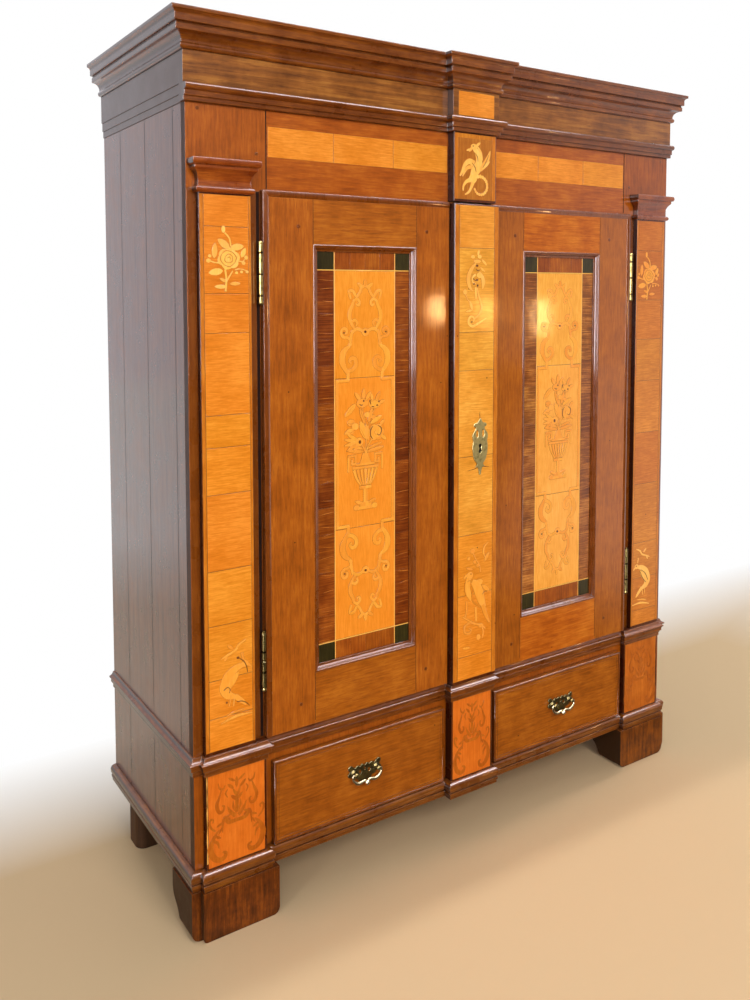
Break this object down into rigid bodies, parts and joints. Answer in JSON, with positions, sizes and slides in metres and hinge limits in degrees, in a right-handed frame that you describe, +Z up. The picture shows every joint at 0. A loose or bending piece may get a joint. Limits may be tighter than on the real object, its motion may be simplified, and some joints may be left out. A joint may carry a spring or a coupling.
{
  "type": "two-door kas cupboard",
  "caption": "Free-standing baroque linen cupboard with a moulded cornice, pilasters, panelled inlaid doors on barrel hinges and drawers with bail handles in its base",
  "frame": {"origin": "on the floor, below the middle of the outer box", "axes": "+Z up, the front with the doors faces -Y, +X to the right of a person who faces the cupboard"},
  "size_m": [1.622, 0.6, 2],
  "materials": {
    "frame_upright": "shellac-polished walnut veneer, grain upright",
    "frame_level": "shellac-polished walnut veneer, grain level",
    "dark_moulding": "shellac-polished dark walnut moulding",
    "door_moulding": "shellac-polished walnut moulding",
    "light_pilaster": "shellac-polished light figured veneer",
    "light_panel": "shellac-polished light veneer with dark cross-banding",
    "block_veneer": "shellac-polished orange veneer",
    "side_wood": "polished dark stained oak",
    "foot_wood": "polished walnut",
    "inside_wood": "plain planed softwood",
    "aged_brass": "aged cast brass",
    "pale_brass": "worn pale brass",
    "black_iron": "forged iron"
  },
  "bodies": {
    "case": {"front_stile_left": "frame_upright", "front_stile_right": "frame_upright", "base_front_frame": "frame_upright", "case_front_rails": "frame_level", "cornice_frieze_boards": "frame_level", "base_moulding": "dark_moulding", "waist_moulding": "dark_moulding", "architrave_moulding": "dark_moulding", "crown_moulding": "dark_moulding", "capitals": "dark_moulding", "pilaster_left": "light_pilaster", "pilaster_right": "light_pilaster", "base_side_blocks": "block_veneer", "base_centre_block": "block_veneer", "centre_frieze_block": "block_veneer", "upper_side_left": "side_wood", "upper_side_right": "side_wood", "base_side_left": "side_wood", "base_side_right": "side_wood", "front_foot_left": "foot_wood", "front_foot_right": "foot_wood", "rear_feet": "inside_wood", "base_back": "inside_wood", "base_floor": "inside_wood", "drawer_guides": "inside_wood", "shelves": "inside_wood", "back_boards": "inside_wood", "case_floor": "inside_wood", "case_top": "inside_wood", "left_hinge_frame_halves": "pale_brass", "right_hinge_frame_halves": "pale_brass"},
    "left_door": {"left_door_stiles": "frame_upright", "left_door_rails": "frame_level", "left_door_panel": "light_panel", "left_door_panel_moulding": "door_moulding", "left_door_edge_bead": "door_moulding", "left_hinge_door_halves": "pale_brass", "left_door_bolt_plate": "black_iron"},
    "right_door": {"right_door_stiles": "frame_upright", "right_door_rails": "frame_level", "right_door_panel": "light_panel", "right_door_panel_moulding": "door_moulding", "right_door_edge_bead": "door_moulding", "right_hinge_door_halves": "pale_brass", "lock_strip": "light_pilaster", "escutcheon": "aged_brass", "lock_case": "black_iron"},
    "lock_bolt": {"lock_bolt": "black_iron"},
    "left_door_bolt": {"left_door_bolt": "black_iron"},
    "left_drawer": {"left_drawer_front": "frame_level", "left_drawer_box_boards": "inside_wood", "left_drawer_bottom": "inside_wood", "left_handle_plate": "aged_brass"},
    "right_drawer": {"right_drawer_front": "frame_level", "right_drawer_box_boards": "inside_wood", "right_drawer_bottom": "inside_wood", "right_handle_plate": "aged_brass"},
    "left_bail": {"left_handle_bail": "aged_brass"},
    "right_bail": {"right_handle_bail": "aged_brass"}
  },
  "joints": [
    {"name": "left_door_swing", "type": "hinge", "parent": "case", "child": "left_door", "pos_m": [-0.603, -0.251, 1], "axis": [0, 0, -1], "range_deg": [0, 110]},
    {"name": "right_door_swing", "type": "hinge", "parent": "case", "child": "right_door", "pos_m": [0.603, -0.251, 1], "axis": [0, 0, 1], "range_deg": [0, 110]},
    {"name": "lock_bolt_throw", "type": "slide", "parent": "right_door", "child": "lock_bolt", "axis": [-1, 0, 0], "range_m": [0, 0.025]},
    {"name": "left_door_bolt_throw", "type": "slide", "parent": "left_door", "child": "left_door_bolt", "axis": [0, 0, 1], "range_m": [0, 0.028]},
    {"name": "left_drawer_slide", "type": "slide", "parent": "case", "child": "left_drawer", "axis": [0, -1, 0], "range_m": [0, 0.3]},
    {"name": "right_drawer_slide", "type": "slide", "parent": "case", "child": "right_drawer", "axis": [0, -1, 0], "range_m": [0, 0.3]},
    {"name": "left_bail_lift", "type": "hinge", "parent": "left_drawer", "child": "left_bail", "pos_m": [-0.333, -0.2658, 0.262], "axis": [-1, 0, 0], "range_deg": [0, 85]},
    {"name": "right_bail_lift", "type": "hinge", "parent": "right_drawer", "child": "right_bail", "pos_m": [0.333, -0.2658, 0.262], "axis": [-1, 0, 0], "range_deg": [0, 85]}
  ]
}
